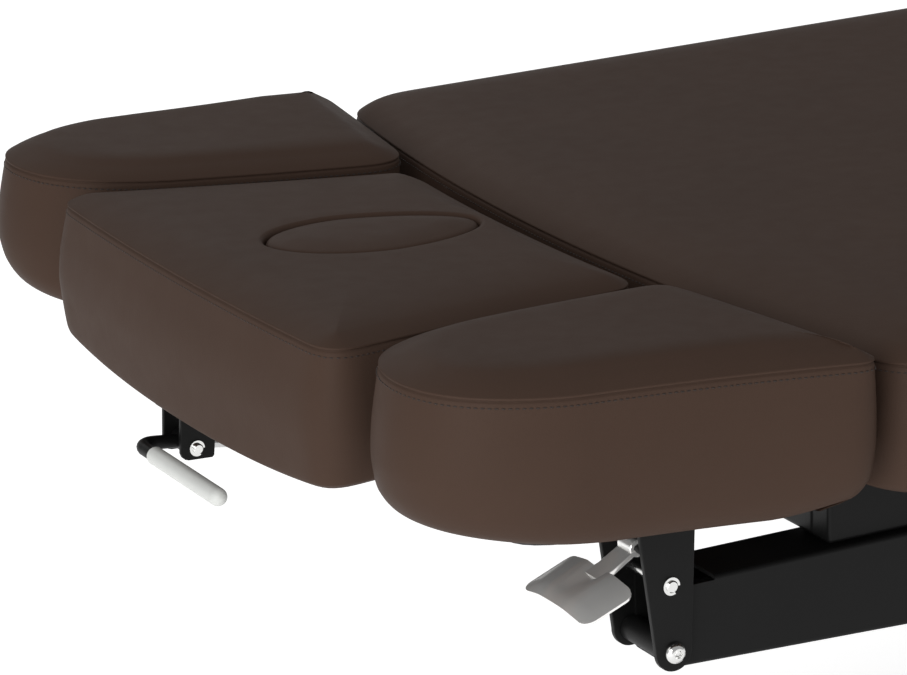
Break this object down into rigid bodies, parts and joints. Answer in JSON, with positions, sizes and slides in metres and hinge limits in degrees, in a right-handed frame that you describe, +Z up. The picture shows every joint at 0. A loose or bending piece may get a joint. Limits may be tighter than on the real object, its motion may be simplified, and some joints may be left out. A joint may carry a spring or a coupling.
{
  "type": "facial bed",
  "caption": "Powered facial bed with padded head, arm, back, seat and leg sections, face opening with plug, tilting levers and lifting columns.",
  "frame": {"origin": "on the floor under the middle of the bed", "axes": "+X along the bed to the foot end, +Y to the far side, +Z up"},
  "size_m": [1.9468, 0.8932, 0.6899],
  "materials": {
    "leather": "smooth dark brown upholstery",
    "black_paint": "semi-gloss black",
    "chrome": "bright",
    "steel": "plain",
    "grip": "light grey sleeve",
    "board": "dark dust cover over plywood",
    "plastic": "black",
    "column": "dark grey",
    "rubber": "black"
  },
  "bodies": {
    "base": {"base_frame": "black_paint", "levelling_foot_head_near": "rubber", "levelling_foot_head_far": "rubber", "levelling_foot_foot_near": "rubber", "levelling_foot_foot_far": "rubber", "column_outer_head": "column", "column_outer_foot": "column", "control_box": "plastic", "power_inlet": "plastic"},
    "lift": {"column_inner_head": "steel", "column_inner_foot": "steel", "top_frame": "black_paint", "seat_board": "board", "seat_pad": "leather"},
    "back": {"back_frame": "black_paint", "back_board": "board", "back_pad": "leather", "back_hinge_pin_near": "steel", "back_hinge_pin_far": "steel", "head_hinge_pin": "steel", "arm_beam_near": "black_paint", "arm_beam_far": "black_paint", "arm_gas_spring_near": "black_paint", "arm_gas_spring_far": "black_paint"},
    "leg": {"leg_frame": "black_paint", "leg_board": "board", "leg_pad": "leather", "leg_hinge_bolt_near": "steel", "leg_hinge_bolt_far": "steel"},
    "head": {"head_pad": "leather", "head_board": "board", "head_hinge_leaf": "black_paint", "head_lever_bracket": "black_paint", "head_lever_pin": "chrome"},
    "head_lever": {"head_lever": "black_paint", "head_lever_grip": "grip"},
    "face_plug": {"face_plug": "leather"},
    "head_spring": {"head_gas_spring": "black_paint"},
    "head_spring_rod": {"head_spring_rod": "steel"},
    "back_actuator": {"back_actuator": "black_paint"},
    "back_actuator_rod": {"back_actuator_rod": "steel"},
    "leg_actuator": {"leg_actuator": "black_paint"},
    "leg_actuator_rod": {"leg_actuator_rod": "steel"},
    "arm_near": {"arm_pad_near": "leather", "arm_board_near": "board", "arm_bracket_near": "black_paint", "arm_pivot_bolt_near": "chrome", "arm_lock_pin_near": "chrome"},
    "arm_near_paddle": {"arm_paddle_near": "chrome"},
    "arm_near_spring_rod": {"arm_spring_rod_near": "steel"},
    "arm_far": {"arm_pad_far": "leather", "arm_board_far": "board", "arm_bracket_far": "black_paint", "arm_pivot_bolt_far": "chrome", "arm_lock_pin_far": "chrome"},
    "arm_far_paddle": {"arm_paddle_far": "chrome"},
    "arm_far_spring_rod": {"arm_spring_rod_far": "steel"}
  },
  "joints": [
    {"name": "lift_slide", "type": "slide", "parent": "base", "child": "lift", "axis": [0, 0, 1], "range_m": [0, 0.2]},
    {"name": "back_raise", "type": "hinge", "parent": "lift", "child": "back", "pos_m": [0.065, 0, 0.645], "axis": [0, 1, 0], "range_deg": [0, 50]},
    {"name": "leg_lower", "type": "hinge", "parent": "lift", "child": "leg", "pos_m": [0.383, 0, 0.535], "axis": [0, 1, 0], "range_deg": [0, 30]},
    {"name": "head_tilt", "type": "hinge", "parent": "back", "child": "head", "pos_m": [-0.665, 0, 0.5377], "axis": [0, 1, 0], "range_deg": [-30, 6]},
    {"name": "head_lever_press", "type": "hinge", "parent": "head", "child": "head_lever", "pos_m": [-0.92874, 0.058, 0.52811], "axis": [0, 1, 0], "range_deg": [0, 15], "stiffness_Nm_per_rad": 0.6, "springref_deg": -8.59},
    {"name": "face_plug_lift", "type": "slide", "parent": "head", "child": "face_plug", "axis": [0.0471, 0, 0.9989], "range_m": [0, 0.12]},
    {"name": "head_spring_swing", "type": "hinge", "parent": "back", "child": "head_spring", "pos_m": [-0.577, 0.058, 0.4707], "axis": [0, 1, 0], "range_deg": [-23.28, 5.46]},
    {"name": "head_spring_stroke", "type": "slide", "parent": "head_spring", "child": "head_spring_rod", "axis": [-0.9869, 0, 0.1611], "range_m": [-0.0361, 0.0088]},
    {"name": "back_actuator_swing", "type": "hinge", "parent": "lift", "child": "back_actuator", "pos_m": [0.22, -0.12, 0.445], "axis": [0, 1, 0], "range_deg": [-1, 21.83]},
    {"name": "back_actuator_stroke", "type": "slide", "parent": "back_actuator", "child": "back_actuator_rod", "axis": [-0.9864, 0, 0.1644], "range_m": [-0.002, 0.1282]},
    {"name": "leg_actuator_swing", "type": "hinge", "parent": "lift", "child": "leg_actuator", "pos_m": [-0.1, 0.12, 0.345], "axis": [0, 1, 0], "range_deg": [-1, 9.26]},
    {"name": "leg_actuator_stroke", "type": "slide", "parent": "leg_actuator", "child": "leg_actuator_rod", "axis": [0.9991, 0, 0.0428], "range_m": [-0.1048, 0.002]},
    {"name": "arm_near_tilt", "type": "hinge", "parent": "back", "child": "arm_near", "pos_m": [-0.745, -0.2982, 0.452], "axis": [0, 1, 0], "range_deg": [-9, 0]},
    {"name": "arm_near_paddle_press", "type": "hinge", "parent": "arm_near", "child": "arm_near_paddle", "pos_m": [-0.75914, -0.2982, 0.52375], "axis": [0, 1, 0], "range_deg": [0, 10], "stiffness_Nm_per_rad": 0.5, "springref_deg": -8.59},
    {"name": "arm_near_spring_stroke", "type": "slide", "parent": "back", "child": "arm_near_spring_rod", "axis": [-1, 0, 0], "range_m": [-0.001, 0.0097]},
    {"name": "arm_far_tilt", "type": "hinge", "parent": "back", "child": "arm_far", "pos_m": [-0.745, 0.2982, 0.452], "axis": [0, 1, 0], "range_deg": [-9, 0]},
    {"name": "arm_far_paddle_press", "type": "hinge", "parent": "arm_far", "child": "arm_far_paddle", "pos_m": [-0.75914, 0.2982, 0.52375], "axis": [0, 1, 0], "range_deg": [0, 10], "stiffness_Nm_per_rad": 0.5, "springref_deg": -8.59},
    {"name": "arm_far_spring_stroke", "type": "slide", "parent": "back", "child": "arm_far_spring_rod", "axis": [-1, 0, 0], "range_m": [-0.001, 0.0097]}
  ],
  "couplings": [
    {"joint": "head_spring_swing", "follows": "head_tilt", "ratio": 0.74264},
    {"joint": "head_spring_stroke", "follows": "head_tilt", "m_per_rad": 0.06517},
    {"joint": "back_actuator_swing", "follows": "back_raise", "ratio": 0.41668},
    {"joint": "back_actuator_stroke", "follows": "back_raise", "m_per_rad": 0.14457},
    {"joint": "leg_actuator_swing", "follows": "leg_lower", "ratio": 0.2754},
    {"joint": "leg_actuator_stroke", "follows": "leg_lower", "m_per_rad": -0.19626},
    {"joint": "arm_near_spring_stroke", "follows": "arm_near_tilt", "m_per_rad": -0.04894},
    {"joint": "arm_far_spring_stroke", "follows": "arm_far_tilt", "m_per_rad": -0.04894}
  ]
}
